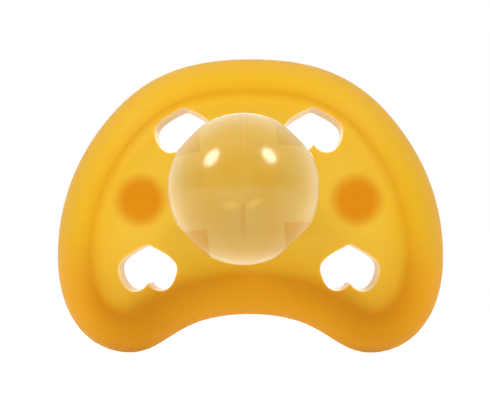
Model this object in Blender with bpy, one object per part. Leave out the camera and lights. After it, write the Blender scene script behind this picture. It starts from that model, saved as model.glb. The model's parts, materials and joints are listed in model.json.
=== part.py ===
# Pacifier: soft amber shield with four heart vents, clear hollow teat, and a
# hinged ring handle carried by a bracket at the back. Metres, +Z up. The teat
# points along -Y and the origin is the centre of the rear button's flat face.
import math

import bmesh
import bpy
from mathutils import Matrix, Vector
from mathutils.geometry import interpolate_bezier

MM = 0.001
GAP = 0.3 * MM                    # moulding clearance between fixed pieces
WELD = 0.001 * MM                 # points closer than this are one point

# Depths run backwards (+Y) from the front of the shield's central panel.
PANEL_BACK = 3.9 * MM             # flat back of the shield's panel
PLATE_FRONT = PANEL_BACK + GAP
PLATE_BACK = PLATE_FRONT + 2.2 * MM
HINGE_DEPTH = 8.5 * MM            # axis of the ring handle
BUTTON_BACK = 10.9 * MM           # flat rear face of the button, and the origin
LUG_BACK = 11.1 * MM

# Shield outline, right half: knot, then the handles before and after it (x, z).
SHIELD_KNOTS = (
    ((0.0, 18.25), (-6.6, 0.0), (6.6, 0.0)),
    ((17.15, 11.5), (-4.85, 5.54), (4.45, -5.08)),
    ((23.9, -6.15), (0.0, 6.6), (0.0, -7.1)),
    ((14.9, -18.0), (5.45, 0.0), (-5.0, 0.0)),
    ((0.0, -13.3), (9.3, 0.0), (-9.3, 0.0)),
)
SHIELD_STEPS = 9                  # points along each curve between two knots
DOME_RADIUS = 90 * MM             # gentle doming of the whole shield
RIM_FRONT = (                     # inset from the edge, fall behind the dome
    (0.0, 4.0), (0.25, 3.15), (0.9, 2.2), (1.8, 1.45), (3.0, 0.85),
    (4.2, 0.5), (4.7, 0.45),
)
RIM_BACK = ((0.25, 4.7), (0.9, 5.0), (1.7, 4.6), (2.6, 3.9), (3.6, 3.3))
RIM_BACK_INSET = 4.4 * MM         # where the hollow back meets the flat panel
PANEL_FRONT = (                   # share of the way to the bore, fall in mm
    (0.05, 0.15), (0.13, 0.0), (0.4, 0.0), (0.7, 0.0), (1.0, 0.0),
)

# Heart vents, right half of one heart with its tip at the origin.
HEART_KNOTS = (
    ((0.0, 0.0), (-0.45, 0.0), (0.45, 0.0)),
    ((0.75, -0.28), (-0.2, 0.08), (0.9, -0.48)),
    ((3.6, -2.85), (0.0, 1.2), (0.0, -1.2)),
    ((1.65, -5.6), (1.1, 0.0), (-0.9, 0.0)),
    ((0.0, -4.7), (0.35, -0.35), (-0.35, -0.35)),
)
HEART_STEPS = 4
HEART_TIPS = ((7.9, 11.75), (12.3, -5.1))
HEART_DRAFT = 0.95                # the vents narrow towards the back
HEART_CENTRE = -2.9               # height of a heart's middle below its tip

# Teat and the pieces that hold it.
SEAT_RADIUS = 7.2 * MM
SEAT_FRONT = 2.2 * MM
BORE_RADIUS = 5.6 * MM
NECK_RADIUS = BORE_RADIUS - GAP
NECK_WALL = 1.4 * MM
FLANGE_RADIUS = SEAT_RADIUS - GAP
BULB_RADIUS = 8.05 * MM
BULB_DEPTH = -20.5 * MM
BULB_WALL = 1.1 * MM
BULB_FLAT = 7.65 * MM             # axis to each of the four shallow flats
NECK_BLEND = 3.2 * MM             # fillet between neck and bulb
PLUG_RADIUS = NECK_RADIUS - NECK_WALL - GAP
PLUG_FRONT = -3.0 * MM
PLUG_HEAD_RADIUS = 5.0 * MM
PLUG_HEAD = 0.9 * MM
STEM_RADIUS = 2.3 * MM
BUTTON_RADIUS = 5.0 * MM
BUTTON_FLAT = 3.7 * MM

# Bracket, lugs and ring handle.
LUG_X = 13.4 * MM
LUG_RADIUS = 2.75 * MM
LUG_FRONT = 3.0 * MM
PLATE_HALF_LENGTH = 16.5 * MM
PLATE_HALF_HEIGHT = 4.7 * MM
PLATE_DISC_RADIUS = 7.8 * MM      # round middle that covers the teat seat
PIN_RADIUS = 1.2 * MM
PIN_CLEARANCE = 0.1 * MM
PIN_END = 12.5 * MM
RING_RADIUS = 7.75 * MM           # centre line of the ring
RING_DROP = 3.5 * MM              # the ring's centre below the hinge
RING_BAR = 1.45 * MM
BOSS_RADIUS = 2.0 * MM
BOSS_END = 10.2 * MM

ROUND_STEPS = 40
PIN_STEPS = 32


def clear_scene():
    for item in list(bpy.data.objects):
        bpy.data.objects.remove(item, do_unlink=True)


def material(name, colour, roughness, metallic=0.0, transmission=0.0):
    result = bpy.data.materials.new(name)
    result.use_nodes = True
    shader = result.node_tree.nodes["Principled BSDF"]
    shader.inputs["Base Color"].default_value = (*colour, 1.0)
    shader.inputs["Roughness"].default_value = roughness
    shader.inputs["Metallic"].default_value = metallic
    shader.inputs["Transmission Weight"].default_value = transmission
    return result


def add_object(name, bm, finish=None, location=(0.0, 0.0, 0.0)):
    bmesh.ops.recalc_face_normals(bm, faces=bm.faces[:])
    mesh = bpy.data.meshes.new(name)
    bm.to_mesh(mesh)
    bm.free()
    mesh.shade_smooth()
    mesh.set_sharp_from_angle(angle=math.radians(35))
    item = bpy.data.objects.new(name, mesh)
    item.location = location
    bpy.context.collection.objects.link(item)
    if finish:
        mesh.materials.append(finish)
    return item


def cut(target, cutter, operation="DIFFERENCE"):
    cutter.hide_render = True
    cutter.display_type = "WIRE"
    cutter.location = target.location
    boolean = target.modifiers.new(cutter.name, "BOOLEAN")
    boolean.operation = operation
    boolean.object = cutter
    boolean.solver = "EXACT"


def mirrored_outline(knots, steps):
    # Closed outline in millimetres from the knots of its right half.
    right = []
    for (start, _, leave), (end, arrive, _) in zip(knots, knots[1:]):
        handles = [Vector(start), Vector(start) + Vector(leave),
                   Vector(end) + Vector(arrive), Vector(end)]
        right += interpolate_bezier(*handles, steps + 1)[:-1]
    right.append(Vector(knots[-1][0]))
    left = [Vector((-point.x, point.y)) for point in reversed(right[1:-1])]
    return right + left


def inset(outline, distance):
    # Moves each point of a clockwise outline inwards along its own normal.
    moved = []
    for index, point in enumerate(outline):
        along = outline[(index + 1) % len(outline)] - outline[index - 1]
        normal = Vector((along.y, -along.x)).normalized()
        moved.append(point + normal * distance)
    return moved


def add_loft(bm, loops, cap=False):
    # Skins closed loops of equal length; cap closes both ends with one face.
    rows = [[bm.verts.new(point) for point in loop] for loop in loops]
    count = len(rows[0])
    for near, far in zip(rows, rows[1:]):
        for index in range(count):
            after = (index + 1) % count
            bm.faces.new((near[index], near[after], far[after], far[index]))
    if cap:
        bm.faces.new(rows[0])
        bm.faces.new(rows[-1])
    return rows


def arc(centre, radius, start, end, steps):
    # Points (radius from the axis, depth) along an arc, angles in degrees.
    points = []
    for index in range(steps + 1):
        angle = math.radians(start + (end - start) * index / steps)
        points.append((centre[0] + radius * math.cos(angle),
                       centre[1] + radius * math.sin(angle)))
    return points


def add_turned(bm, profile, steps=ROUND_STEPS, centre=(0.0, 0.0, 0.0)):
    # Spins a profile of (radius, depth) pairs about an axis along Y.
    verts = [bm.verts.new((radius, depth, 0.0)) for radius, depth in profile]
    edges = [bm.edges.new(pair) for pair in zip(verts, verts[1:])]
    bmesh.ops.spin(bm, geom=verts + edges, cent=(0, 0, 0), axis=(0, 1, 0),
                   angle=math.tau, steps=steps, use_duplicate=False)
    bmesh.ops.remove_doubles(bm, verts=bm.verts[:], dist=WELD)
    bmesh.ops.translate(bm, verts=bm.verts[:], vec=centre)


def add_cylinder(bm, radius, start, end, steps, axis="Y", centre=(0.0, 0.0, 0.0)):
    # Solid cylinder from one depth to another along its axis.
    turn = Matrix.Rotation(-math.pi / 2, 4, "X")
    if axis == "X":
        turn = Matrix.Rotation(math.pi / 2, 4, "Y")
    middle = Vector((0.0, (start + end) / 2, 0.0))
    if axis == "X":
        middle = Vector(((start + end) / 2, 0.0, 0.0))
    bmesh.ops.create_cone(bm, cap_ends=True, segments=steps, radius1=radius, radius2=radius,
                          depth=abs(end - start),
                          matrix=Matrix.Translation(middle + Vector(centre)) @ turn)


def dome(point):
    # Depth of the domed front at a point of the outline plane.
    return (point.x ** 2 + point.y ** 2) / (2 * DOME_RADIUS)


def towards_bore(outer, radius, share):
    # Blends an outline towards a circle round the teat.
    return [point.lerp(point.normalized() * radius, share) for point in outer]


def at_depth(outline, depth=None, fall=0.0):
    # Places an outline on a flat depth, or behind the dome by a fall.
    return [(point.x, dome(point) + fall if depth is None else depth, point.y)
            for point in outline]


def build_shield(finish):
    edge = [point * MM for point in mirrored_outline(SHIELD_KNOTS, SHIELD_STEPS)]
    loops = []
    for distance, fall in reversed(RIM_BACK):
        loops.append(at_depth(inset(edge, distance * MM), fall=fall * MM))
    for distance, fall in RIM_FRONT:
        loops.append(at_depth(inset(edge, distance * MM), fall=fall * MM))
    panel = inset(edge, RIM_FRONT[-1][0] * MM)
    for share, fall in PANEL_FRONT:
        loops.append(at_depth(towards_bore(panel, BORE_RADIUS, share), fall=fall * MM))
    bore = towards_bore(panel, BORE_RADIUS, 1.0)
    seat = towards_bore(panel, SEAT_RADIUS, 1.0)
    loops.append(at_depth(bore, SEAT_FRONT))
    loops.append(at_depth(seat, SEAT_FRONT))
    loops.append(at_depth(seat, PANEL_BACK))
    loops.append(at_depth(inset(edge, RIM_BACK_INSET), PANEL_BACK))
    loops.append(loops[0])
    bm = bmesh.new()
    add_loft(bm, loops)
    bmesh.ops.remove_doubles(bm, verts=bm.verts[:], dist=WELD)
    shield = add_object("shield", bm, finish, (0.0, -BUTTON_BACK, 0.0))

    vents = bmesh.new()
    for side in (1, -1):
        for tip_x, tip_z in HEART_TIPS:
            middle = Vector((side * tip_x, tip_z + HEART_CENTRE)) * MM
            rings = []
            for scale, depth in ((1.0, -1.0 * MM), (HEART_DRAFT, 6.0 * MM)):
                # Each vent is square to the dome, so it leans towards the dome's centre.
                leaned = middle * (1.0 - depth / DOME_RADIUS)
                ring = []
                for point in mirrored_outline(HEART_KNOTS, HEART_STEPS):
                    flat = Vector((point.x, point.y - HEART_CENTRE)) * scale * MM + leaned
                    ring.append((flat.x, depth, flat.y))
                rings.append(ring)
            add_loft(vents, rings, cap=True)
    cut(shield, add_object("vent_cutter", vents))

    sockets = bmesh.new()
    for side in (1, -1):
        add_cylinder(sockets, LUG_RADIUS + GAP, LUG_FRONT - GAP, PANEL_BACK + MM, PIN_STEPS,
                     centre=(side * LUG_X, 0.0, 0.0))
    cut(shield, add_object("socket_cutter", sockets))
    return shield


def flatten_bulb(bm, distance):
    # Four shallow flats on the bulb's diagonals.
    for vert in bm.verts:
        angle = math.atan2(vert.co.z, vert.co.x)
        off_diagonal = (angle % (math.pi / 2)) - math.pi / 4
        radius = math.hypot(vert.co.x, vert.co.z)
        limit = distance / math.cos(off_diagonal)
        if radius > limit:
            vert.co.x *= limit / radius
            vert.co.z *= limit / radius


def bulb_profile(bulb_radius, neck_radius, blend):
    # From the neck, through a fillet, round the bulb to the tip on the axis.
    reach = bulb_radius + blend
    rise = math.sqrt(reach ** 2 - (neck_radius + blend) ** 2)
    fillet_centre = (neck_radius + blend, BULB_DEPTH + rise)
    meet = math.degrees(math.atan2(rise, neck_radius + blend))
    points = arc(fillet_centre, blend, 180, 180 + meet, 4)
    points += arc((0.0, BULB_DEPTH), bulb_radius, meet, -90, 14)[1:]
    return points


def build_teat(finish):
    inner_radius = NECK_RADIUS - NECK_WALL
    flange_front = SEAT_FRONT + GAP
    outer = [(inner_radius, PANEL_BACK), (FLANGE_RADIUS, PANEL_BACK), (FLANGE_RADIUS, flange_front),
             (NECK_RADIUS, flange_front), (NECK_RADIUS, -4 * MM)]
    outer += bulb_profile(BULB_RADIUS, NECK_RADIUS, NECK_BLEND)
    inner = [(inner_radius, -4 * MM)]
    inner += bulb_profile(BULB_RADIUS - BULB_WALL, inner_radius, NECK_BLEND + BULB_WALL)
    bm = bmesh.new()
    add_turned(bm, outer)
    flatten_bulb(bm, BULB_FLAT)
    hollow = bmesh.new()
    add_turned(hollow, [(inner_radius, PANEL_BACK)] + inner)
    flatten_bulb(hollow, BULB_FLAT - BULB_WALL)
    spare = bpy.data.meshes.new("hollow")
    hollow.to_mesh(spare)
    hollow.free()
    bm.from_mesh(spare)
    bpy.data.meshes.remove(spare)
    bmesh.ops.remove_doubles(bm, verts=bm.verts[:], dist=WELD)
    return add_object("teat", bm, finish, (0.0, -BUTTON_BACK, 0.0))


def build_teat_plug(finish):
    head_back = PLATE_FRONT + PLUG_HEAD
    chamfer = 0.5 * MM
    socket = STEM_RADIUS + GAP
    profile = [(0.0, PLUG_FRONT), (PLUG_RADIUS - chamfer, PLUG_FRONT),
               (PLUG_RADIUS, PLUG_FRONT + chamfer), (PLUG_RADIUS, PLATE_FRONT),
               (PLUG_HEAD_RADIUS, PLATE_FRONT), (PLUG_HEAD_RADIUS, head_back),
               (socket, head_back), (socket, 0.0), (0.0, 0.0)]
    bm = bmesh.new()
    add_turned(bm, profile)
    return add_object("teat_plug", bm, finish, (0.0, -BUTTON_BACK, 0.0))


def stadium(half_length, half_height, steps):
    # Outline with round ends, in the plane of the shield.
    points = []
    for index in range(2 * steps):
        side = 1 if index < steps else -1
        angle = math.pi / 2 - math.pi * (index % steps) / (steps - 1)
        centre = half_length - half_height
        points.append((side * (centre + half_height * math.cos(angle)),
                       side * half_height * math.sin(angle)))
    return points


def build_bracket(finish):
    bm = bmesh.new()
    outline = stadium(PLATE_HALF_LENGTH, PLATE_HALF_HEIGHT, 15)
    add_loft(bm, [[(x, depth, z) for x, z in outline] for depth in (PLATE_FRONT, PLATE_BACK)],
             cap=True)
    bracket = add_object("handle_bracket", bm, finish, (0.0, -BUTTON_BACK, 0.0))

    disc = bmesh.new()
    add_cylinder(disc, PLATE_DISC_RADIUS, PLATE_FRONT, PLATE_BACK, ROUND_STEPS)
    cut(bracket, add_object("disc_adder", disc), "UNION")

    for side, name in ((1, "right"), (-1, "left")):
        lug = bmesh.new()
        round_over = 0.8 * MM
        profile = [(0.0, LUG_FRONT), (LUG_RADIUS, LUG_FRONT), (LUG_RADIUS, LUG_BACK - round_over)]
        profile += arc((LUG_RADIUS - round_over, LUG_BACK - round_over), round_over, 0, 90, 3)[1:]
        profile.append((0.0, LUG_BACK))
        add_turned(lug, profile, PIN_STEPS, centre=(side * LUG_X, 0.0, 0.0))
        cut(bracket, add_object(f"{name}_lug_adder", lug), "UNION")

    pocket = bmesh.new()
    add_cylinder(pocket, PLUG_HEAD_RADIUS + GAP, PLATE_FRONT - MM,
                 PLATE_FRONT + PLUG_HEAD + GAP, ROUND_STEPS)
    cut(bracket, add_object("pocket_cutter", pocket))
    stem = bmesh.new()
    add_cylinder(stem, STEM_RADIUS + GAP, PLATE_FRONT - MM, PLATE_BACK + MM, PIN_STEPS)
    cut(bracket, add_object("stem_cutter", stem))
    pins = bmesh.new()
    for side in (1, -1):
        add_cylinder(pins, PIN_RADIUS + PIN_CLEARANCE, side * (LUG_X - LUG_RADIUS - MM),
                     side * (PIN_END + GAP), PIN_STEPS, "X", (0.0, HINGE_DEPTH, 0.0))
    cut(bracket, add_object("pin_hole_cutter", pins))
    return bracket


def build_button(finish):
    front = PLATE_BACK + GAP
    drop = BUTTON_RADIUS - BUTTON_FLAT
    profile = [(0.0, GAP), (STEM_RADIUS, GAP), (STEM_RADIUS, front), (BUTTON_RADIUS, front),
               (BUTTON_RADIUS, BUTTON_BACK - drop)]
    profile += arc((BUTTON_FLAT, BUTTON_BACK - drop), drop, 0, 90, 6)[1:]
    profile.append((0.0, BUTTON_BACK))
    bm = bmesh.new()
    add_turned(bm, profile)
    return add_object("button_cap", bm, finish, (0.0, -BUTTON_BACK, 0.0))


def build_ring(finish):
    # The ring hangs from its hinge; its own origin is on the hinge axis.
    path = [Vector((RING_RADIUS, 0.0)), Vector((RING_RADIUS, -RING_DROP / 2))]
    path += [Vector(point) for point in arc((0.0, -RING_DROP), RING_RADIUS, 0, -180, 24)]
    path += [Vector((-RING_RADIUS, -RING_DROP / 2)), Vector((-RING_RADIUS, 0.0))]
    loops = []
    for index, point in enumerate(path):
        before = path[max(index - 1, 0)]
        after = path[min(index + 1, len(path) - 1)]
        along = (after - before).normalized()
        outward = Vector((-along.y, along.x))
        loop = []
        for step in range(16):
            angle = math.tau * step / 16
            flat = point + outward * RING_BAR * math.cos(angle)
            loop.append((flat.x, RING_BAR * math.sin(angle), flat.y))
        loops.append(loop)
    bm = bmesh.new()
    add_loft(bm, loops, cap=True)
    hinge = (0.0, HINGE_DEPTH - BUTTON_BACK, 0.0)
    ring = add_object("ring_handle", bm, finish, hinge)
    for side, name in ((1, "right"), (-1, "left")):
        boss = bmesh.new()
        add_cylinder(boss, BOSS_RADIUS, side * (RING_RADIUS - RING_BAR), side * BOSS_END,
                     PIN_STEPS, "X")
        cut(ring, add_object(f"{name}_boss_adder", boss), "UNION")
        pin = bmesh.new()
        add_cylinder(pin, PIN_RADIUS, side * RING_RADIUS, side * PIN_END, PIN_STEPS, "X")
        cut(ring, add_object(f"{name}_pin_adder", pin), "UNION")
    return ring


def main():
    clear_scene()
    build_shield(material("amber_silicone", (0.90, 0.50, 0.06), 0.45))
    build_teat(material("clear_silicone", (0.93, 0.80, 0.55), 0.12, transmission=0.8))
    build_teat_plug(material("plug_plastic", (0.86, 0.62, 0.28), 0.35))
    build_bracket(material("bracket_plastic", (0.84, 0.42, 0.04), 0.32))
    build_button(material("button_plastic", (0.93, 0.88, 0.76), 0.30))
    build_ring(material("ring_plastic", (0.86, 0.46, 0.05), 0.30))


main()
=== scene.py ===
import json
import math

import bmesh
import bpy
from mathutils import Matrix, Quaternion, Vector
from mathutils.geometry import interpolate_bezier


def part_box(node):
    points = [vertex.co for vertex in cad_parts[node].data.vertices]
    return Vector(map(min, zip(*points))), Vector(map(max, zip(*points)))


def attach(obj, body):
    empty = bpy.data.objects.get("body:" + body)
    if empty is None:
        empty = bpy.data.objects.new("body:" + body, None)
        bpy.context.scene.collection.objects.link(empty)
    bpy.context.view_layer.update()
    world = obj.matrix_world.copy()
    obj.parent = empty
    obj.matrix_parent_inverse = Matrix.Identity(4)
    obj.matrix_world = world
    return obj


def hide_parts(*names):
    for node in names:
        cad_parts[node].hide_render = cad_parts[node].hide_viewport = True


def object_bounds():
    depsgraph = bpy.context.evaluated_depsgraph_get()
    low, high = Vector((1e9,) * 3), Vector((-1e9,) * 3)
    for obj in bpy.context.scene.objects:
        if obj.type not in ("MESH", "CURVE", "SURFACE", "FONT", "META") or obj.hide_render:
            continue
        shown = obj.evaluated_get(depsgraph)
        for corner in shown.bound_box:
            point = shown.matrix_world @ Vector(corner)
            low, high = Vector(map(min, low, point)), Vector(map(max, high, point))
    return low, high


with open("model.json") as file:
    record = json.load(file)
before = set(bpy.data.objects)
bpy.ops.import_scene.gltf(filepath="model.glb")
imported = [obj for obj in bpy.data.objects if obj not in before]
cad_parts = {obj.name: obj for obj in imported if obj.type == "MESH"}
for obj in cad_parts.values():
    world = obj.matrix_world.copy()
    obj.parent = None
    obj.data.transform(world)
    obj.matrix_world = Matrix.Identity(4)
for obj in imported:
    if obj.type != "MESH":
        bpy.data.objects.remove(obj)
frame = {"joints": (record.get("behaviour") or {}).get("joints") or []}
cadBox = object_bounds()
mm = 0.001

# Places come from the frame: the button's flat face is the origin, depths run forwards to -Y.
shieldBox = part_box("shield")
panelFront = Vector((0.0, shieldBox[0][1], 0.0))       # front of the domed panel, on the teat's axis
hinge = Vector(frame["joints"][0]["pos_m"])


class Wire:
    # one socket that takes + - * / and ** and adds the Math nodes
    def __init__(self, graph, socket):
        self.graph = graph
        self.socket = socket

    def math(self, operation, left, right):
        return self.graph.add("ShaderNodeMath", {"operation": operation}, {0: left, 1: right})

    def __add__(self, other):
        return self.math("ADD", self, other)

    def __radd__(self, other):
        return self.math("ADD", other, self)

    def __sub__(self, other):
        return self.math("SUBTRACT", self, other)

    def __rsub__(self, other):
        return self.math("SUBTRACT", other, self)

    def __mul__(self, other):
        return self.math("MULTIPLY", self, other)

    def __rmul__(self, other):
        return self.math("MULTIPLY", other, self)

    def __truediv__(self, other):
        return self.math("DIVIDE", self, other)

    def __pow__(self, other):
        return self.math("POWER", self, other)

    def __abs__(self):
        return self.math("ABSOLUTE", self, 0.0)


class Graph:
    # a node tree and the one method that adds its nodes
    def __init__(self, tree):
        self.tree = tree
        self.tree.nodes.clear()

    def add(self, kind, settings=None, sockets=None, output=0):
        node = self.tree.nodes.new(kind)
        for key, value in (settings or {}).items():
            if key == "stops":
                self.setStops(node.color_ramp, value)
            else:
                setattr(node, key, value)
        for key, value in (sockets or {}).items():
            for item in value if isinstance(value, list) else [value]:
                if isinstance(item, Wire):
                    self.tree.links.new(item.socket, node.inputs[key])
                else:
                    node.inputs[key].default_value = item
        return Wire(self, node.outputs[output]) if node.outputs else None

    def setStops(self, ramp, stops):
        while len(ramp.elements) > 1:
            ramp.elements.remove(ramp.elements[-1])
        ramp.elements[0].position = stops[0][0]
        ramp.elements[0].color = stops[0][1]
        for place, colour in stops[1:]:
            ramp.elements.new(place).color = colour


class Finish(Graph):
    # a material of its own, built from its surface shader back
    def __init__(self, name):
        self.material = bpy.data.materials.new(name)
        self.material.use_nodes = True
        super().__init__(self.material.node_tree)

    def place(self):
        return self.add("ShaderNodeTexCoord", output=3)

    def axes(self, vector):
        split = self.add("ShaderNodeSeparateXYZ", None, {0: vector}).socket.node
        return [Wire(self, output) for output in split.outputs]

    def rise(self, value, low, high):
        # smooth step from 0 at low to 1 at high
        settings = {"interpolation_type": "SMOOTHSTEP"}
        return self.add("ShaderNodeMapRange", settings, {"Value": value, "From Min": low, "From Max": high})

    def mix(self, factor, first, second):
        settings = {"data_type": "RGBA"}
        return self.add("ShaderNodeMix", settings, {0: factor, 6: first, 7: second}, output=2)

    def ramp(self, value, tints):
        stops = [(place, paint(*tint)) for place, tint in tints]
        return self.add("ShaderNodeValToRGB", {"stops": stops}, {0: value})

    def noise(self, vector, scale, detail=2.0):
        return self.add("ShaderNodeTexNoise", None, {"Vector": vector, "Scale": scale, "Detail": detail})

    def bump(self, height, strength, distance, normal=None):
        sockets = {"Height": height, "Strength": strength, "Distance": distance}
        if normal:
            sockets["Normal"] = normal
        return self.add("ShaderNodeBump", None, sockets)

    def surface(self, shader):
        self.add("ShaderNodeOutputMaterial", None, {"Surface": shader})
        return self.material


class Recipe(Graph):
    # a geometry node tree with named inputs
    def __init__(self, name):
        super().__init__(bpy.data.node_groups.new(name, "GeometryNodeTree"))
        self.tree.interface.new_socket("Geometry", in_out="OUTPUT", socket_type="NodeSocketGeometry")
        self.tree.interface.new_socket("Geometry", in_out="INPUT", socket_type="NodeSocketGeometry")
        self.entry = self.add("NodeGroupInput").socket.node
        self.values = {}

    def given(self, name, kind, value):
        # a named input, set to the value on the modifier, and its wire
        item = self.tree.interface.new_socket(name, in_out="INPUT", socket_type="NodeSocket" + kind)
        self.values[item.identifier] = value
        return Wire(self, self.entry.outputs[name])

    def geometry(self):
        return Wire(self, self.entry.outputs["Geometry"])

    def run(self, piece, result):
        self.add("NodeGroupOutput", None, {"Geometry": result})
        modifier = piece.modifiers.new(self.tree.name, "NODES")
        modifier.node_group = self.tree
        for identifier, value in self.values.items():
            modifier[identifier] = value
        bake(piece)


def rgb(red, green, blue, share=1.0):
    # screen colour out of 255 to a linear colour
    def linear(channel):
        part = channel / 255
        return share * (part / 12.92 if part <= 0.04045 else ((part + 0.055) / 1.055) ** 2.4)
    return (linear(red), linear(green), linear(blue), 1.0)


paintShare = 0.70                 # the studio's light lifts painted colours by the rest


def paint(red, green, blue):
    return rgb(red, green, blue, paintShare)


def newPiece(name, bm, finishes, sharpAngle=40):
    mesh = bpy.data.meshes.new(name)
    bm.to_mesh(mesh)
    bm.free()
    for finish in finishes:
        mesh.materials.append(finish)
    piece = bpy.data.objects.new(name, mesh)
    bpy.context.scene.collection.objects.link(piece)
    smooth(piece, sharpAngle)
    return piece


def smooth(piece, sharpAngle=40):
    piece.data.shade_smooth()
    piece.data.set_sharp_from_angle(angle=math.radians(sharpAngle))


def bake(piece):
    # turns the modified result into the piece's own plain mesh
    graph = bpy.context.evaluated_depsgraph_get()
    mesh = bpy.data.meshes.new_from_object(piece.evaluated_get(graph))
    piece.modifiers.clear()
    old = piece.data
    piece.data = mesh
    bpy.data.meshes.remove(old)
    mesh.name = piece.name


def carve(piece, cutter, operation="DIFFERENCE"):
    boolean = piece.modifiers.new("carve", "BOOLEAN")
    boolean.operation = operation
    boolean.solver = "EXACT"
    boolean.material_mode = "TRANSFER"
    boolean.object = cutter
    bake(piece)
    bpy.data.objects.remove(cutter)


def skinLoops(bm, loops, cap=False, closed=False, shares=None):
    # skins closed loops of equal length; shares go to the UV map, one for each loop or point
    rows = [[bm.verts.new(point) for point in loop] for loop in loops]
    uv = bm.loops.layers.uv.verify() if shares else None
    count = len(rows[0])
    pairs = list(zip(range(len(rows)), range(1, len(rows))))
    if closed:
        pairs.append((len(rows) - 1, 0))
    for near, far in pairs:
        for i in range(count):
            j = (i + 1) % count
            face = bm.faces.new((rows[near][i], rows[near][j], rows[far][j], rows[far][i]))
            if uv:
                corners = ((near, i, i), (near, j, i + 1), (far, j, i + 1), (far, i, i))
                for corner, (row, spot, along) in zip(face.loops, corners):
                    share = shares[row]
                    corner[uv].uv = (share[spot] if isinstance(share, list) else share, along / count)
    if cap:
        bm.faces.new(rows[0])
        bm.faces.new(rows[-1])
    bmesh.ops.recalc_face_normals(bm, faces=bm.faces[:])


def turn(bm, profile, steps, closed=False, centre=Vector()):
    # spins (radius, depth) points round the teat's axis
    verts = [bm.verts.new((radius, depth, 0.0)) for radius, depth in profile]
    edges = [bm.edges.new(pair) for pair in zip(verts, verts[1:])]
    if closed:
        edges.append(bm.edges.new((verts[-1], verts[0])))
    bmesh.ops.spin(bm, geom=verts + edges, cent=(0, 0, 0), axis=(0, 1, 0), angle=math.tau,
                   steps=steps, use_duplicate=False)
    bmesh.ops.remove_doubles(bm, verts=bm.verts[:], dist=0.001 * mm)
    bmesh.ops.recalc_face_normals(bm, faces=bm.faces[:])
    bmesh.ops.translate(bm, verts=bm.verts[:], vec=centre)


def absorb(bm, part):
    # moves the part's faces into bm
    spare = bpy.data.meshes.new("spare")
    part.to_mesh(spare)
    part.free()
    bm.from_mesh(spare)
    bpy.data.meshes.remove(spare)


def addRod(bm, radius, length, middle, axis, segments):
    # closed cylinder with its middle at a place in the frame, along the frame's Y or X
    lay = Matrix.Rotation(math.pi / 2, 4, "X" if axis == "Y" else "Y")
    bmesh.ops.create_cone(bm, cap_ends=True, segments=segments, radius1=radius * mm, radius2=radius * mm,
                          depth=length * mm, matrix=Matrix.Translation(middle) @ lay)


def arc(centre, radius, start, end, steps):
    # points of an arc, angles in degrees
    points = []
    for i in range(steps + 1):
        angle = math.radians(start + (end - start) * i / steps)
        points.append((centre[0] + radius * math.cos(angle), centre[1] + radius * math.sin(angle)))
    return points


def softCorners(points, radii, steps=5):
    # rounds the corners of a (radius, depth) outline; a radius of 0 keeps one sharp
    result = []
    count = len(points)
    for i, (point, radius) in enumerate(zip(points, radii)):
        if radius == 0:
            result.append(point)
            continue
        here = Vector(point)
        before = (Vector(points[i - 1]) - here).normalized() * radius
        after = (Vector(points[(i + 1) % count]) - here).normalized() * radius
        curve = interpolate_bezier(here + before, here + before * 0.45, here + after * 0.45,
                                   here + after, steps + 1)
        result += [tuple(spot) for spot in curve]
    return result


def splinePoints(points, steps):
    # smooth curve through the points of an open path
    result = []
    for i in range(len(points) - 1):
        p0 = Vector(points[max(i - 1, 0)])
        p1, p2 = Vector(points[i]), Vector(points[i + 1])
        p3 = Vector(points[min(i + 2, len(points) - 1)])
        leave, arrive = (p2 - p0) / 6, (p3 - p1) / 6
        result += interpolate_bezier(p1, p1 + leave, p2 - arrive, p2, steps + 1)[:-1]
    result.append(Vector(points[-1]))
    return result


def mirroredOutline(knots, steps):
    # closed clockwise outline from the knots of its right half
    right = []
    for (start, _, leave), (end, arrive, _) in zip(knots, knots[1:]):
        right += interpolate_bezier(Vector(start), Vector(start) + Vector(leave),
                                    Vector(end) + Vector(arrive), Vector(end), steps + 1)[:-1]
    right.append(Vector(knots[-1][0]))
    left = [Vector((-point.x, point.y)) for point in reversed(right[1:-1])]
    return right + left


def inset(outline, distance):
    # every point moved inwards, square to a clockwise outline
    moved = []
    for i, point in enumerate(outline):
        along = outline[(i + 1) % len(outline)] - outline[i - 1]
        moved.append(point + Vector((along.y, -along.x)).normalized() * distance)
    return moved


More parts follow.
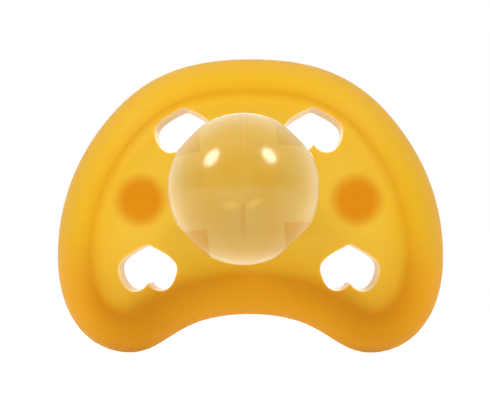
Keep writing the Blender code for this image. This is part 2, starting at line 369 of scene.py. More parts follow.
shield = {
    # right half of the outline from the top down: point, handle before it, handle after it
    "knots": (((0.0, 18.25), (-6.6, 0.0), (6.6, 0.0)), ((17.15, 11.5), (-4.85, 5.54), (4.45, -5.08)),
              ((23.9, -6.15), (0.0, 6.6), (0.0, -7.1)), ((14.9, -18.0), (5.45, 0.0), (-5.0, 0.0)),
              ((0.0, -13.3), (9.3, 0.0), (-9.3, 0.0))),
    "outlineSteps": 40,
    "domeRadius": 90.0,
    # section of the rolled rim: distance in from the outline, distance behind the dome
    "rim": ((3.6, 3.3), (2.6, 3.9), (1.7, 4.6), (0.9, 5.0), (0.25, 4.7), (0.0, 4.0), (0.25, 3.15),
            (0.9, 2.2), (1.8, 1.45), (3.0, 0.85), (4.2, 0.5), (4.7, 0.45)),
    "rimSteps": 5,
    "creaseFall": 0.45,           # the crease lies this much behind the dome
    "creaseWidth": 1.7,           # the crease rises to the dome over this much of the panel
    # painted shade darkens the crease's colour, fading out over the distance on the next line
    "creaseShadeFade": 4.2,            # and its colour fades out over this much
    "panelSteps": 26,
    "panelBack": 3.9,
    "backInsets": (4.9, 4.5, 4.05),  # flat back's edge, then two loops up into the rolled rim
    "backSteps": 8,
    "boreRadius": 5.6, "boreLip": 0.4,
    "seatRadius": 7.2, "seatFront": 2.2,             # seat for the teat's flange
    "lugX": 13.4,
    "socketRadius": 3.05, "socketFront": 2.7, "socketLength": 3.0,
    "tintInset": 10.0,            # on the rim, a place's share is its distance in over this
    # tints at shares of the way from the outline in to the teat, of the upper and of the lower part: painted
    # light and shade, lighter on the upper part lit from above, darker on the lower part as painted shade, a
    # painted shade line at the crease around 0.45, and greyer at the outline as a painted sheen with light
    # through the thin edge
    "litUpperTints": ((0.0, (220, 168, 68)), (0.12, (230, 177, 48)), (0.3, (237, 184, 30)),
                   (0.4, (235, 178, 22)), (0.46, (231, 168, 14)), (0.5, (233, 172, 22)),
                   (0.6, (239, 185, 36)), (0.75, (241, 191, 48)), (1.0, (243, 196, 58))),
    "shadedLowerTints": ((0.0, (228, 156, 30)), (0.12, (237, 164, 16)), (0.25, (234, 160, 8)),
                   (0.36, (227, 149, 2)), (0.44, (220, 140, 0)), (0.5, (225, 149, 4)),
                   (0.6, (234, 173, 32)), (0.75, (239, 184, 44)), (1.0, (242, 190, 54))),
    # the painted light of the upper tints gives way to the painted shade of the lower ones between these
    # heights
    "litUntil": -1.0, "shadedFrom": -13.0,          # heights between which the tints change over
    "hazeTint": (248, 208, 90), "haze": 0.12,
    # painted shadow: the lugs seen through the shield and the shade they cast in it, as soft dark discs
    "lugShadowX": 13.0, "lugShadowZ": 0.36,                    # where the lugs show through
    "lugShadowCore": 1.8, "lugShadowEdge": 3.8,
    "lugShadowTint": (227, 142, 0), "lugShadowStrength": 0.94,
}
heart = {
    # right half of a vent from its tip down to the notch, as the shield's outline
    "knots": (((0.0, 0.0), (-0.45, 0.0), (0.45, 0.0)), ((0.75, -0.28), (-0.2, 0.08), (0.9, -0.48)),
              ((3.6, -2.85), (0.0, 1.2), (0.0, -1.2)), ((1.65, -5.6), (1.1, 0.0), (-0.9, 0.0)),
              ((0.0, -4.7), (0.35, -0.35), (-0.35, -0.35))),
    "steps": 12,
    "tips": ((7.9, 11.75), (12.3, -5.1)),
    "middle": -2.9,               # a vent narrows towards this height, measured from its tip
    "draft": 0.95, "draftFrom": -1.0, "draftTo": 6.0,                       # from full size down to this
    "lip": 0.07,                  # rounding of the vent's edges
    "lipSteps": 5,
    "notchFade": 0.7,             # the rounding dies out this close to the notch
    "overshoot": 1.5,             # the cutter starts and ends this far outside the panel
    "frontTint": (246, 224, 178), "backTint": (244, 212, 146), "cloudTint": (244, 202, 126),
    "tintShare": 0.84,            # light through the walls lifts them less than painted places
}


def dome(point):
    # how far behind the panel's front the dome lies there
    return (point.x ** 2 + point.y ** 2) / (2 * shield["domeRadius"])


def ringAt(outline, depthOf):
    # outline points in millimetres to places in the frame
    return [panelFront + Vector((point.x, depthOf(point), point.y)) * mm for point in outline]


def shieldColour(finish, place):
    # painted shade deeper in the crease and towards the bottom, painted light on the upper part, a painted
    # sheen at the outline, and the lugs showing through as soft dark discs of painted shadow
    x, _, z = finish.axes(place)
    share = finish.axes(finish.add("ShaderNodeUVMap"))[0]
    # painted light for the upper part, painted shade for the lower part
    litUpper = finish.ramp(share, shield["litUpperTints"])
    shadedLow = finish.ramp(share, shield["shadedLowerTints"])
    tinted = finish.mix(finish.rise(z, shield["litUntil"] * mm, shield["shadedFrom"] * mm), litUpper, shadedLow)
    cloud = finish.noise(place, 90.0, 3.0)
    hazy = finish.mix(cloud * shield["haze"], tinted, paint(*shield["hazeTint"]))
    # painted shadow of the lugs, darkest over their middles
    side = abs(x) - shield["lugShadowX"] * mm
    above = z - shield["lugShadowZ"] * mm
    away = (side * side + above * above) ** 0.5
    spot = 1 - finish.rise(away, shield["lugShadowCore"] * mm, shield["lugShadowEdge"] * mm)
    return finish.mix(spot * shield["lugShadowStrength"], hazy, paint(*shield["lugShadowTint"]))


def amberShield():
    # satin silicone with a fine grain and slow ripples
    finish = Finish("amberShieldSilicone")
    place = finish.place()
    grain = finish.noise(place, 2600.0, 2.0)
    ripple = finish.noise(place, 160.0, 1.0)
    shader = finish.add("ShaderNodeBsdfPrincipled", None, {
        "Base Color": shieldColour(finish, place), "Roughness": 0.42 + grain * 0.08, "IOR": 1.41,
        "Subsurface Weight": 0.35, "Subsurface Radius": (1.0, 0.45, 0.12), "Subsurface Scale": 1.6 * mm,
        "Specular IOR Level": 0.08,
        "Normal": finish.bump(grain, 0.1, 0.02 * mm, finish.bump(ripple, 0.12, 0.05 * mm))})
    return finish.surface(shader)


def ventWall():
    # cut wall of the vents, pale where light comes through it
    finish = Finish("ventWallSilicone")
    place = finish.place()
    depth = finish.axes(place)[1]
    inside = finish.rise(depth, panelFront.y + 0.3 * mm, panelFront.y + 3.6 * mm)
    tints = [rgb(*heart[name], heart["tintShare"]) for name in ("frontTint", "backTint", "cloudTint")]
    cloudy = finish.mix(finish.noise(place, 900.0) * 0.25, finish.mix(inside, tints[0], tints[1]), tints[2])
    shader = finish.add("ShaderNodeBsdfPrincipled", None, {
        "Base Color": cloudy, "Roughness": 0.5, "Subsurface Weight": 0.3,
        "Subsurface Radius": (1.0, 0.85, 0.5), "Subsurface Scale": 0.8 * mm})
    return finish.surface(shader)


def ventCutter(wall):
    # four heart-shaped plugs that widen by the lip where they leave the panel's front and back
    bm = bmesh.new()
    lip, back, beyond = heart["lip"], shield["panelBack"], heart["overshoot"]
    base = mirroredOutline(heart["knots"], heart["steps"])
    notch, centre = Vector(heart["knots"][-1][0]), Vector((0.0, heart["middle"]))
    bends = [math.radians(90 / (heart["lipSteps"] - 1) * i) for i in range(heart["lipSteps"])]

    def loopAt(middle, grow, depth, depthOf):
        # the vents narrow backwards and lean towards the dome's centre
        way = (depth - heart["draftFrom"]) / (heart["draftTo"] - heart["draftFrom"])
        scale = 1 + (heart["draft"] - 1) * way
        lean = 1 - depth / shield["domeRadius"]
        spots = []
        for p, q in zip(base, inset(base, -grow)):
            grown = p.lerp(q, min((p - notch).length / heart["notchFade"], 1.0))
            spots.append((grown - centre) * scale + middle * lean)
        return ringAt(spots, depthOf)

    for side in (1, -1):
        for tipX, tipZ in heart["tips"]:
            middle = Vector((side * tipX, tipZ)) + centre
            front = dome(middle)
            loops = [loopAt(middle, lip, front, lambda p: dome(p) - beyond)]
            for bend in bends:
                fall = lip * (1 - math.cos(bend))
                loops.append(loopAt(middle, lip * (1 - math.sin(bend)), front,
                                    lambda p, fall=fall: dome(p) + fall))
            for bend in bends:
                depth = back - lip * (1 - math.sin(bend))
                loops.append(loopAt(middle, lip * (1 - math.cos(bend)), back, lambda p, depth=depth: depth))
            loops.append(loopAt(middle, lip, back, lambda p: back + beyond))
            skinLoops(bm, loops, cap=True)
    return newPiece("ventCutter", bm, [wall])


def shieldLoops():
    # closed loops from inside the rolled rim round over the front, down the bore and out along the back,
    # and the tint share of each, which is how far in from the outline it lies
    edge = mirroredOutline(shield["knots"], shield["outlineSteps"])
    crease = inset(edge, shield["rim"][-1][0])
    back, lip = shield["panelBack"], shield["boreLip"]
    lipRadius = shield["boreRadius"] + lip
    creaseShare = shield["rim"][-1][0] / shield["tintInset"]
    loops, shares = [], []

    def lay(outline, share, depthOf):
        loops.append(ringAt(outline, depthOf))
        shares.append(share)

    for spot in splinePoints(shield["rim"], shield["rimSteps"]):
        lay(inset(edge, spot.x), spot.x / shield["tintInset"], lambda p, fall=spot.y: dome(p) + fall)
    for i in range(1, shield["panelSteps"] + 1):
        loop, tints = [], []
        for p in crease:
            q = p.lerp(p.normalized() * lipRadius, i / shield["panelSteps"])
            away = min((q - other).length for other in crease)
            way = min(away / shield["creaseWidth"], 1.0)
            fall = shield["creaseFall"] * (1 - way * way * (3 - 2 * way))
            loop.append(panelFront + Vector((q.x, dome(q) + fall, q.y)) * mm)
            # near the crease the share lands on the painted crease shade in the tints
            tints.append(creaseShare + (1 - creaseShare) * min(away / shield["creaseShadeFade"], 1.0))
        loops.append(loop)
        shares.append(tints)
    for i in range(1, 6):
        bend = math.radians(18 * i)
        radius, fall = lipRadius - lip * math.sin(bend), lip * (1 - math.cos(bend))
        lay([p.normalized() * radius for p in crease], 1.0, lambda p, fall=fall: dome(p) + fall)
    seat = [p.normalized() * shield["seatRadius"] for p in crease]
    lay([p.normalized() * shield["boreRadius"] for p in crease], 1.0, lambda p: shield["seatFront"])
    lay(seat, 1.0, lambda p: shield["seatFront"])
    lay(seat, 1.0, lambda p: back)
    flatEdge, shoulder, foot = (inset(edge, distance) for distance in shield["backInsets"])
    for i in range(1, shield["backSteps"] + 1):
        share = i / shield["backSteps"]
        lay([q.lerp(p, share) for p, q in zip(flatEdge, seat)], 0.9 - 0.4 * share, lambda p: back)
    lay(shoulder, creaseShare, lambda p: back + 0.12 + 0.2 * (dome(p) - 0.4))
    lay(foot, creaseShare - 0.03, lambda p: (back + dome(p) + 3.1) / 2 + 0.02)
    return loops, shares


def makeShield():
    skin, wall = amberShield(), ventWall()
    loops, shares = shieldLoops()
    bm = bmesh.new()
    skinLoops(bm, loops, closed=True, shares=shares)
    piece = newPiece("shieldShell", bm, [skin])
    carve(piece, ventCutter(wall))
    sockets = bmesh.new()
    for side in (1, -1):
        depth = shield["socketFront"] + shield["socketLength"] / 2
        middle = panelFront + Vector((side * shield["lugX"], depth, 0.0)) * mm
        addRod(sockets, shield["socketRadius"], shield["socketLength"], middle, "Y", 48)
    carve(piece, newPiece("socketCutter", sockets, [skin]))
    smooth(piece, 38)
    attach(piece, "pacifier_body")
    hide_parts("shield")
    print("shield done:", len(piece.data.polygons), "faces")


teat = {
    "bulbRadius": 8.05, "bulbDepth": -20.5, "bulbWall": 1.1, "flat": 7.65,
    "neckRadius": 5.3, "neckWall": 1.4, "neckBlend": 3.2,
    "flangeRadius": 6.9, "flangeFront": 2.5, "flangeBack": 3.9,
    "steps": 160,
    # clearer corners beyond a cross on the bulb's front: the cross's half width, its drop and twist
    "cross": 3.95, "crossDrop": 0.25, "crossTurn": 4.7, "cornerEdge": 0.05,
    "seamX": 0.15,                # the mould's parting line
    # painted reflections of the softboxes off the bulb's inner back wall, placed either side of the parting
    # line
    "paintedReflectionX": 1.2, "paintedReflectionZ": -2.3, "paintedReflectionLength": 0.95, "paintedReflectionHeight": 0.5, "paintedReflectionSlant": 0.6,   # two painted reflections of the softboxes, pale marks either side of the parting line
    # tints of the clear and of the milky share of the silicone, with a paler painted sheen for the outline
    # and a darker painted shade for the bottom
    "clearTint": (253, 240, 206), "clearCorner": (252, 204, 36),
    "milkyTint": (253, 202, 58), "milkyEdgeSheen": (248, 222, 162), "milkyLowShade": (238, 184, 62),
    "milkyPatch": (250, 214, 120), "milkyCorner": (222, 162, 0),
    "milkyShare": 0.56,
    "cornersFrom": 15.0, "paintedReflectionsFrom": 22.0,          # they show only beyond this far before the shield
}


def clearSilicone():
    # milky clear silicone, paler towards the outline partly as a painted sheen and partly as thicker silicone
    # seen edge-on, darker towards the bottom as painted shade, with four clearer corners on the bulb's front
    finish = Finish("clearTeatSilicone")
    place = finish.place()
    x, y, z = finish.axes(place)
    ahead = panelFront.y - y
    twist, edge = math.radians(teat["crossTurn"]), teat["cornerEdge"]
    across = abs(x * math.cos(twist) + z * math.sin(twist))
    upward = abs(z * math.cos(twist) - x * math.sin(twist) + teat["crossDrop"] * mm)
    low, high = (teat["cross"] - edge) * mm, (teat["cross"] + edge) * mm
    corner = (finish.rise(across, low, high) * finish.rise(upward, low, high)
              * finish.rise(ahead, teat["cornersFrom"] * mm, (teat["cornersFrom"] + 1) * mm))

    # parting line, a wider darker line in it below the painted reflections, and two painted reflections:
    # small pale marks where the softboxes show back off the bulb's inner wall
    fromSeam = abs(x - teat["seamX"] * mm)
    seam = 1 - finish.rise(fromSeam, 0.05 * mm, 0.2 * mm)
    groove = ((1 - finish.rise(fromSeam, 0.1 * mm, 0.38 * mm))
              * finish.rise(z, -1.8 * mm, -2.4 * mm) * finish.rise(z, -6 * mm, -4 * mm))
    slant = finish.rise(x, 0.4 * mm, 2.4 * mm) * teat["paintedReflectionSlant"] * mm
    aside = (fromSeam - teat["paintedReflectionX"] * mm) / teat["paintedReflectionLength"]
    under = (z - teat["paintedReflectionZ"] * mm - slant) / teat["paintedReflectionHeight"]
    paintedReflection = ((1 - finish.rise((aside * aside + under * under) ** 0.5, 0.2 * mm, 1.3 * mm))
            * finish.rise(ahead, teat["paintedReflectionsFrom"] * mm, (teat["paintedReflectionsFrom"] + 2) * mm))

    swirl = finish.noise(place, 260.0, 3.0)
    patch = finish.noise(place, 120.0, 2.0)
    normal = finish.bump(corner, 0.4, 0.06 * mm, finish.bump(
        swirl, 0.12, 0.05 * mm, finish.bump(seam, 0.25, 0.05 * mm)))
    glass = finish.add("ShaderNodeBsdfPrincipled", None, {
        "Base Color": finish.mix(corner, rgb(*teat["clearTint"]), rgb(*teat["clearCorner"])),
        "Roughness": 0.1 + swirl * 0.08, "IOR": 1.38, "Transmission Weight": 1.0, "Normal": normal})

    facing = finish.add("ShaderNodeLayerWeight", None, {"Blend": 0.5}, output=1)
    # painted shade: the lower part of the bulb darker, its clear corners too
    shadedLow = finish.rise(z, 3 * mm, -7 * mm)
    # paler towards the outline: partly painted sheen, partly thicker silicone seen edge-on
    colour = finish.mix(facing ** 1.4, paint(*teat["milkyTint"]), paint(*teat["milkyEdgeSheen"]))
    colour = finish.mix(shadedLow * 0.6, colour, paint(*teat["milkyLowShade"]))
    colour = finish.mix(finish.rise(patch, 0.35, 0.7) * 0.45, colour, paint(*teat["milkyPatch"]))
    # clear corners and the line along the parting line darker, the corners most at the bottom as painted
    # shade
    colour = finish.mix(corner * (0.15 + shadedLow * 0.75) + groove * 0.34, colour, paint(*teat["milkyCorner"]))
    milky = finish.add("ShaderNodeBsdfPrincipled", None, {
        "Base Color": colour, "Roughness": 0.14 + swirl * 0.07, "IOR": 1.41, "Subsurface Weight": 0.4,
        "Subsurface Radius": (1.0, 0.8, 0.5), "Subsurface Scale": 1.2 * mm, "Normal": normal})
    # milkier and so paler at the outline, partly as painted sheen, and at the two painted reflections
    cloud = teat["milkyShare"] + patch * 0.12 + facing ** 2.0 * 0.25 + shadedLow * 0.05
    cloud = (cloud + seam * 0.02 + paintedReflection * 0.12) * (1 - corner * 0.08) + corner * shadedLow * 0.2
    return finish.surface(finish.add("ShaderNodeMixShader", None, {0: cloud, 1: glass, 2: milky}))


def bulbProfile(bulbRadius, neckRadius, blend, steps):
    # neck, fillet and bulb, to the tip on the axis
    reach = bulbRadius + blend
    rise = math.sqrt(reach ** 2 - (neckRadius + blend) ** 2)
    meet = math.degrees(math.atan2(rise, neckRadius + blend))
    points = arc((neckRadius + blend, teat["bulbDepth"] + rise), blend, 180, 180 + meet, steps // 4)
    return points + arc((0.0, teat["bulbDepth"]), bulbRadius, meet, -90, steps)[1:]


def flatten(bm, distance):
    # four shallow flats on the bulb's diagonals
    for vert in bm.verts:
        offDiagonal = math.atan2(vert.co.z, vert.co.x) % (math.pi / 2) - math.pi / 4
        radius = math.hypot(vert.co.x, vert.co.z)
        limit = distance / math.cos(offDiagonal)
        if radius > limit:
            vert.co.x *= limit / radius
            vert.co.z *= limit / radius


def makeTeat():
    neck, wall = teat["neckRadius"], teat["bulbWall"]
    inner = neck - teat["neckWall"]
    outline = [(inner, teat["flangeBack"]), (teat["flangeRadius"], teat["flangeBack"]),
               (teat["flangeRadius"], teat["flangeFront"]), (neck, teat["flangeFront"])]
    outline = softCorners(outline, (0.15, 0.3, 0.3, 0.25))
    outline += [(neck, -depth) for depth in range(0, 11)]                # a loop at each millimetre
    outline += bulbProfile(teat["bulbRadius"], neck, teat["neckBlend"], 72)
    hollow = [outline[0]] + [(inner, -depth) for depth in range(-3, 10)]
    hollow += bulbProfile(teat["bulbRadius"] - wall, inner, teat["neckBlend"] + wall, 56)
    bm = bmesh.new()
    for profile, flat in ((outline, teat["flat"]), (hollow, teat["flat"] - wall)):
        part = bmesh.new()
        turn(part, [(radius * mm, depth * mm) for radius, depth in profile], teat["steps"])
        flatten(part, flat * mm)
        absorb(bm, part)
    bmesh.ops.remove_doubles(bm, verts=bm.verts[:], dist=0.001 * mm)
    bmesh.ops.recalc_face_normals(bm, faces=bm.faces[:])
    bmesh.ops.translate(bm, verts=bm.verts[:], vec=panelFront)
    piece = newPiece("teatBulb", bm, [clearSilicone()], 30)
    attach(piece, "pacifier_body")
    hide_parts("teat")
    print("teat done:", len(piece.data.polygons), "faces")


def hardPlastic(name, look):
    # moulded plastic with faint flow marks, a fine grain and the odd fine scratch
    finish = Finish(name)
    place = finish.place()
    flow = finish.noise(place, 120.0, 3.0)
    grain = finish.noise(place, 3200.0, 2.0)
    stretched = finish.add("ShaderNodeMapping", None, {"Vector": place, "Scale": (160.0, 900.0, 5200.0)})
    scratch = finish.rise(finish.noise(stretched, 1.0, 2.0), 0.66, 0.72)
    shader = finish.add("ShaderNodeBsdfPrincipled", None, {
        "Base Color": finish.mix(flow, paint(*look["dark"]), paint(*look["light"])),
        "Roughness": look["roughness"] + grain * 0.1 + scratch * 0.08, "IOR": 1.49,
        "Subsurface Weight": look["subsurface"], "Subsurface Radius": (1.0, 0.5, 0.2),
        "Subsurface Scale": 0.8 * mm,
        "Normal": finish.bump(grain, 0.08, 0.02 * mm, finish.bump(
            scratch, 0.1, 0.01 * mm, finish.bump(flow, 0.15, 0.06 * mm)))})
    return finish.surface(shader)


plug = {
    "radius": 3.6, "front": -3.0, "headRadius": 5.0, "headFront": 4.2, "headBack": 5.1,
    "leadWidth": 0.45, "leadLength": 0.6,            # bevel of the front edge
    "dimple": (1.2, 1.5, 0.15),                      # in the front: inner radius, outer radius, depth
    "socketRadius": 2.6, "socketFront": 0.0,
    "barbs": (-1.4, 1.0), "barbHeight": 0.12, "barbRamp": 0.5, "barbBack": 0.12,
    "steps": 96,
    "dark": (214, 152, 62), "light": (232, 178, 84), "roughness": 0.34, "subsurface": 0.3,
}


def turnedPiece(name, outline, radii, steps, finish):
    # a solid spun from a (radius, depth) outline in millimetres with softened corners
    bm = bmesh.new()
    profile = [(radius * mm, depth * mm) for radius, depth in softCorners(outline, radii)]
    turn(bm, profile, steps, centre=panelFront)
    return newPiece(name, bm, [finish], 32)


def makePlug():
    radius, front = plug["radius"], plug["front"]
    dimpleInner, dimpleOuter, dimpleDepth = plug["dimple"]
    outline = [(0.0, front + dimpleDepth), (dimpleInner, front + dimpleDepth), (dimpleOuter, front),
               (radius - plug["leadWidth"], front), (radius, front + plug["leadLength"])]
    radii = [0, 0.15, 0.15, 0.2, 0.2]
    for depth in plug["barbs"]:
        outline += [(radius, depth - plug["barbRamp"]), (radius + plug["barbHeight"], depth),
                    (radius, depth + plug["barbBack"])]
        radii += [0.15, 0.05, 0.05]
    outline += [(radius, plug["headFront"]), (plug["headRadius"], plug["headFront"]),
                (plug["headRadius"], plug["headBack"]), (plug["socketRadius"], plug["headBack"]),
                (plug["socketRadius"], plug["socketFront"]), (0.0, plug["socketFront"])]
    radii += [0.12, 0.2, 0.2, 0.15, 0.25, 0]
    piece = turnedPiece("plugBody", outline, radii, plug["steps"], hardPlastic("plugPlastic", plug))
    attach(piece, "pacifier_body")
    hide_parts("teat_plug")
    print("plug done:", len(piece.data.polygons), "faces")


bracket = {
    "front": 4.2, "back": 6.4, "halfLength": 16.5, "halfHeight": 4.7, "discRadius": 7.8,
    "blend": 1.8,                 # fillet where the round middle runs into the arms
    "frontEdge": 0.25, "edge": 0.45,                 # rounding of the front and the rear edge
    "panInset": 1.3, "panDepth": 0.3,                # shallow pan in the back, inside a raised border
    "collar": (5.5, 6.1, 0.22, 0.9),                 # raised ring: inner, outer, height, root in the plate
    "lugX": 13.4, "lugRadius": 2.75, "lugFront": 3.0, "lugBack": 11.1,
    "lugRound": 0.9, "lugBevel": 0.3,                # rounding of a lug's rear, bevel of its front
    "lugFoot": (0.22, 0.55),      # slope where a lug leaves the pan: width, height
    "pocketRadius": 5.3, "pocketBack": 5.4, "stemRadius": 2.6,
    "pinRadius": 1.3, "pinEnd": 12.8,
    "overshoot": 1.0,             # cutters reach this far outside
    "dark": (218, 138, 12), "light": (234, 162, 34), "roughness": 0.32, "subsurface": 0.15,
}


def bracketOutline():
    # round middle with two arms, corners filleted: a closed clockwise outline in millimetres
    arm, disc, blend = bracket["halfHeight"], bracket["discRadius"], bracket["blend"]
    x = math.sqrt((disc + blend) ** 2 - (arm + blend) ** 2)
    start = math.degrees(math.atan2(arm + blend, x))
    quarter = arc((0.0, 0.0), disc, 90, start, 22)
    quarter += arc((x, arm + blend), blend, 180 + start, 270, 10)[1:]
    reach = bracket["halfLength"] - arm
    quarter += [(x + (reach - x) * i / 6, arm) for i in range(1, 6)]
    quarter += arc((reach, 0.0), arm, 90, 0, 20)
    right = quarter + [(px, -pz) for px, pz in reversed(quarter[:-1])]
    return [Vector(p) for p in right] + [Vector((-px, pz)) for px, pz in reversed(right[1:-1])]


def bracketBody(finish):
    # the plate with its pan, before the collar and the lugs are joined to it
    front, back = bracket["front"], bracket["back"]
    frontEdge, edge = bracket["frontEdge"], bracket["edge"]
    pan, floor = bracket["panInset"], back - bracket["panDepth"]
    steps = [(frontEdge, front), (0.28 * frontEdge, front + 0.28 * frontEdge), (0.0, front + frontEdge)]
    for i in range(6):
        bend = math.radians(18 * i)
        steps.append((edge * (1 - math.cos(bend)), back - edge * (1 - math.sin(bend))))
    steps += [(pan - 0.1, back), (pan, back - 0.08), (pan + 0.2, floor + 0.06), (pan + 0.35, floor)]
    outline = bracketOutline()
    bm = bmesh.new()
    skinLoops(bm, [ringAt(inset(outline, distance), lambda p, depth=depth: depth)
                   for distance, depth in steps], cap=True)
    return newPiece("bracketPlate", bm, [finish])


def joinTurned(piece, name, profile, steps, finish, centre, closed=False):
    # joins a turned (radius, depth) profile to the piece
    bm = bmesh.new()
    turn(bm, [(radius * mm, depth * mm) for radius, depth in profile], steps, closed, centre)
    carve(piece, newPiece(name, bm, [finish]), "UNION")


def drill(piece, finish, radius, start, end, axis, centre, segments):
    # bores from start to end, in millimetres from the centre along Y or X
    way = Vector((0.0, 1.0, 0.0)) if axis == "Y" else Vector((1.0, 0.0, 0.0))
    bm = bmesh.new()
    addRod(bm, radius, abs(end - start), centre + way * ((start + end) / 2 * mm), axis, segments)
    carve(piece, newPiece("drill", bm, [finish]))


def makeBracket():
    finish = hardPlastic("bracketPlastic", bracket)
    front, back, beyond = bracket["front"], bracket["back"], bracket["overshoot"]
    piece = bracketBody(finish)
    inner, outer, height, root = bracket["collar"]
    collar = [(inner, back - root), (inner, back + height), (outer, back + height), (outer, back - root)]
    joinTurned(piece, "collar", softCorners(collar, (0, 0.12, 0.12, 0)), 96, finish, panelFront, closed=True)

    radius, nose, rear = bracket["lugRadius"], bracket["lugFront"], bracket["lugBack"]
    soft, bevel, pan = bracket["lugRound"], bracket["lugBevel"], back - bracket["panDepth"]
    slopeWidth, slopeHeight = bracket["lugFoot"]
    lug = [(0.0, nose), (radius - bevel, nose), (radius, nose + bevel), (radius, pan),
           (radius + slopeWidth, pan - 0.02), (radius, pan + slopeHeight)]
    lug += arc((radius - soft, rear - soft), soft, 0, 90, 8) + [(0.0, rear)]
    for side in (1, -1):
        middle = panelFront + Vector((side * bracket["lugX"] * mm, 0.0, 0.0))
        joinTurned(piece, "lug", lug, 72, finish, middle)

    # pocket and stem hole for the button, a pin hole in each lug
    floor = bracket["pocketBack"]
    drill(piece, finish, bracket["pocketRadius"], front - beyond, floor, "Y", panelFront, 96)
    drill(piece, finish, bracket["stemRadius"], floor - 0.4, back + beyond, "Y", panelFront, 96)
    start, end = bracket["lugX"] - radius - beyond, bracket["pinEnd"]
    for side in (1, -1):
        drill(piece, finish, bracket["pinRadius"], side * start, side * end, "X", hinge, 64)
    smooth(piece, 32)
    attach(piece, "pacifier_body")
    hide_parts("handle_bracket")
    print("bracket done:", len(piece.data.polygons), "faces")


button = {
    "stemRadius": 2.3, "stemFront": 0.3, "barb": 0.12, "barbDepths": (0.9, 1.3),
    "headFront": 6.7, "radius": 5.0, "back": 10.9, "flat": 3.7,
    "groove": (2.7, 0.32, 0.18),  # in the face: radius, half width, depth
    "waist": (8.0, 0.2, 0.4, 0.18),                  # middle, inner and outer half width, depth
    "steps": 128,
    "dark": (242, 230, 202), "light": (252, 242, 218), "roughness": 0.26, "subsurface": 0.25,
}


def makeButton():
    stem, head, front, back = (button[name] for name in ("stemRadius", "radius", "headFront", "back"))
    barbTop, barbEnd = button["barbDepths"]
    middle, inner, outer, depth = button["waist"]
    outline = [(0.0, button["stemFront"]), (stem - 0.3, button["stemFront"]),
               (stem + button["barb"], barbTop), (stem, barbEnd),
               (stem, front), (head - 0.1, front), (head, front + 0.3),
               (head, middle - outer), (head - depth, middle - inner), (head - depth, middle + inner),
               (head, middle + outer)]
    radii = [0, 0.15, 0.1, 0.1, 0.25, 0.05, 0.1, 0.08, 0.08, 0.08, 0.08]
    drop = head - button["flat"]
    shoulder = arc((button["flat"], back - drop), drop, 0, 90, 12)
    grooveRadius, width, fall = button["groove"]
    groove = [(grooveRadius + width, back), (grooveRadius + width / 2, back - fall),
              (grooveRadius - width / 2, back - fall), (grooveRadius - width, back)]
    outline += shoulder + groove + [(0.0, back)]
    radii += [0] * len(shoulder) + [0.06] * len(groove) + [0]
    piece = turnedPiece("buttonFace", outline, radii, button["steps"], hardPlastic("buttonPlastic", button))
    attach(piece, "pacifier_body")
    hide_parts("button_cap")
    print("button done:", len(piece.data.polygons), "faces")


ring = {
    "radius": 7.75, "drop": 3.5,  # the round's radius, and how far its middle hangs below the hinge
    "barRadius": 1.42, "sides": 40,
    # grip ridges, between two shares of the bar's length
    "ridgeCount": 15, "ridgeSize": 0.16, "ridgeSides": 10, "ridgeStart": 0.36, "ridgeEnd": 0.64,
    "bossRadius": 2.0, "bossStart": 6.4, "bossEnd": 10.2,
    "pinRadius": 1.2, "pinEnd": 12.5,
    "dark": (216, 134, 14), "light": (234, 162, 38), "roughness": 0.3, "subsurface": 0.2,
}


def ringPath():
    # an open mesh line from one boss down round the loop to the other
    bottom = arc((0.0, -ring["drop"]), ring["radius"], 0, -180, 96)
    side = [(ring["radius"], -ring["drop"] * i / 8) for i in range(8)]
    spots = side + bottom + [(-x, z) for x, z in reversed(side)]
    mesh = bpy.data.meshes.new("ringLoop")
    verts = [hinge + Vector((x, 0.0, z)) * mm for x, z in spots]
    mesh.from_pydata(verts, [(i, i + 1) for i in range(len(verts) - 1)], [])
    piece = bpy.data.objects.new("ringLoop", mesh)
    bpy.context.scene.collection.objects.link(piece)
    return piece


def ringRecipe(finish):
    # sweeps the bar along the path and sets grip ridges round its lowest part
    recipe = Recipe("ringSweep")
    barRadius = recipe.given("barRadius", "Float", ring["barRadius"] * mm)
    sides = recipe.given("sides", "Int", ring["sides"])
    ridgeCount = recipe.given("ridgeCount", "Int", ring["ridgeCount"])
    ridgeSize = recipe.given("ridgeSize", "Float", ring["ridgeSize"] * mm)
    ridgeSides = recipe.given("ridgeSides", "Int", ring["ridgeSides"])
    start = recipe.given("ridgeStart", "Float", ring["ridgeStart"])
    end = recipe.given("ridgeEnd", "Float", ring["ridgeEnd"])
    plastic = recipe.given("plastic", "Material", finish)
    path = recipe.add("GeometryNodeMeshToCurve", None, {"Mesh": recipe.geometry()})
    section = recipe.add("GeometryNodeCurvePrimitiveCircle", None, {"Resolution": sides, "Radius": barRadius})
    bar = recipe.add("GeometryNodeCurveToMesh", None, {
        "Curve": path, "Profile Curve": section, "Fill Caps": True})
    grip = recipe.add("GeometryNodeTrimCurve", None, {"Curve": path, 2: start, 3: end})
    spots = recipe.add("GeometryNodeCurveToPoints", {"mode": "COUNT"}, {"Curve": grip, "Count": ridgeCount})
    turned = Wire(recipe, spots.socket.node.outputs["Rotation"])
    bead = recipe.add("GeometryNodeCurvePrimitiveCircle", None, {
        "Resolution": ridgeSides, "Radius": ridgeSize})
    hoop = recipe.add("GeometryNodeCurveToMesh", None, {"Curve": section, "Profile Curve": bead})
    hoops = recipe.add("GeometryNodeInstanceOnPoints", None, {
        "Points": spots, "Instance": hoop, "Rotation": turned})
    both = recipe.add("GeometryNodeJoinGeometry", None, {"Geometry": [hoops, bar]})
    whole = recipe.add("GeometryNodeRealizeInstances", None, {"Geometry": both})
    return recipe, recipe.add("GeometryNodeSetMaterial", None, {"Geometry": whole, "Material": plastic})


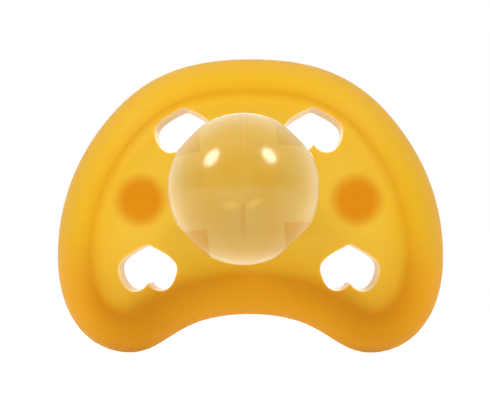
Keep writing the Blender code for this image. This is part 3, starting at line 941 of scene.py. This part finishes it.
def makeRing():
    finish = hardPlastic("ringPlastic", ring)
    piece = ringPath()
    recipe, result = ringRecipe(finish)
    recipe.run(piece, result)
    bm = bmesh.new()
    bm.from_mesh(piece.data)
    start, radius, shoulder = ring["bossStart"], ring["bossRadius"], ring["bossEnd"]
    outline = [(0.0, start), (radius, start), (radius, shoulder), (ring["pinRadius"], shoulder),
               (ring["pinRadius"], ring["pinEnd"]), (0.0, ring["pinEnd"])]
    profile = softCorners(outline, (0, 0.45, 0.35, 0.12, 0.3, 0), 6)
    for side in (1, -1):
        boss = bmesh.new()
        turn(boss, [(radius * mm, along * mm) for radius, along in profile], 64)
        bmesh.ops.transform(boss, verts=boss.verts[:], matrix=Matrix.Translation(hinge)
                            @ Matrix.Rotation(-side * math.pi / 2, 4, "Z"))
        absorb(bm, boss)
    bmesh.ops.recalc_face_normals(bm, faces=bm.faces[:])
    bm.to_mesh(piece.data)
    bm.free()
    # one slot for the swept bar and the bosses
    piece.data.materials.clear()
    piece.data.materials.append(finish)
    piece.data.polygons.foreach_set("material_index", [0] * len(piece.data.polygons))
    smooth(piece, 35)
    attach(piece, "ring")
    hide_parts("ring_handle")
    print("ring done:", len(piece.data.polygons), "faces")


makeShield()
makeTeat()
makePlug()
makeBracket()
makeButton()
makeRing()


studio = {
    # camera, measured from the middle of the panel's front, with its turn and height in degrees
    "distance": 177.8 * mm, "azimuth": 1.56, "elevation": -4.09,
    "lens": 109.4, "aimRight": -0.40 * mm, "aimUp": 0.08 * mm,
    # light from all round, dimmer in front; it changes over between two values of the direction's Y
    "frontLight": 0.43, "backLight": 1.0, "frontUntil": -0.1, "backFrom": 0.45,
    "paperGrey": 0.6, "paperGlow": 0.64, "paperSize": 2.0,
    "softboxDistance": 0.5,
    # name, direction from the bulb, width, length, lean in degrees, power in watts
    "softboxes": (("softboxLeft", (-0.661, -0.415, 0.626), 0.15, 0.205, -14, 1.6),
                  ("softboxRight", (0.57, -0.451, 0.687), 0.145, 0.2, 4, 1.55),
                  ("softboxBack", (0.0, 0.99, 0.12), 0.3, 0.3, 0, 0.7)),
}


def makeCamera():
    azimuth, elevation = math.radians(studio["azimuth"]), math.radians(studio["elevation"])
    back = Vector((math.sin(azimuth) * math.cos(elevation), -math.cos(azimuth) * math.cos(elevation),
                   math.sin(elevation)))
    turned = back.to_track_quat("Z", "Y")
    aim = turned @ Vector((studio["aimRight"], studio["aimUp"], 0.0))
    lens = bpy.data.cameras.new("frontCamera")
    lens.lens = studio["lens"]
    lens.clip_start = 0.01
    camera = bpy.data.objects.new("frontCamera", lens)
    camera.location = panelFront + aim + back * studio["distance"]
    camera.rotation_mode = "QUATERNION"
    camera.rotation_quaternion = turned
    bpy.context.scene.collection.objects.link(camera)
    bpy.context.scene.camera = camera


def makeLights():
    bulb = panelFront + Vector((0.0, teat["bulbDepth"], 0.0)) * mm
    for name, direction, width, length, lean, power in studio["softboxes"]:
        light = bpy.data.lights.new(name, "AREA")
        light.shape = "ELLIPSE"
        light.size, light.size_y = width, length
        light.energy = power
        lamp = bpy.data.objects.new(name, light)
        towards = Vector(direction).normalized()
        lamp.location = bulb + towards * studio["softboxDistance"]
        lamp.rotation_mode = "QUATERNION"
        lamp.rotation_quaternion = (towards.to_track_quat("Z", "Y")
                                    @ Quaternion((0.0, 0.0, 1.0), math.radians(lean)))
        lamp.visible_camera = False
        bpy.context.scene.collection.objects.link(lamp)


def makeSurroundings():
    # white all round for the camera; for the light, a bright backdrop and a dimmer front
    world = bpy.data.worlds.new("whiteStudio")
    world.use_nodes = True
    sky = Graph(world.node_tree)
    white = (1.0, 1.0, 1.0, 1.0)
    direction = sky.add("ShaderNodeTexCoord", output=0)
    backward = sky.add("ShaderNodeSeparateXYZ", None, {0: direction}, output=1)
    strength = sky.add("ShaderNodeMapRange", {"interpolation_type": "SMOOTHSTEP"}, {
        "Value": backward, "From Min": studio["frontUntil"], "From Max": studio["backFrom"],
        "To Min": studio["frontLight"], "To Max": studio["backLight"]})
    lit = sky.add("ShaderNodeBackground", None, {"Color": white, "Strength": strength})
    shown = sky.add("ShaderNodeBackground", None, {"Color": white, "Strength": 1.0})
    seen = sky.add("ShaderNodeLightPath")
    sky.add("ShaderNodeOutputWorld", None, {
        "Surface": sky.add("ShaderNodeMixShader", None, {0: seen, 1: lit, 2: shown})})
    bpy.context.scene.world = world
    bpy.context.scene.view_settings.view_transform = "Standard"

    paper = Finish("whitePaper")
    shader = paper.add("ShaderNodeBsdfPrincipled", None, {
        "Base Color": (*[studio["paperGrey"]] * 3, 1.0), "Roughness": 0.9, "Specular IOR Level": 0.1,
        "Emission Color": white, "Emission Strength": studio["paperGlow"]})
    bm = bmesh.new()
    lowest = Vector((0.0, 0.0, cadBox[0][2]))
    bmesh.ops.create_grid(bm, x_segments=1, y_segments=1, size=studio["paperSize"],
                          matrix=Matrix.Translation(lowest))
    newPiece("studioFloor", bm, [paper.surface(shader)])


makeCamera()
makeLights()
makeSurroundings()
print("studio done")
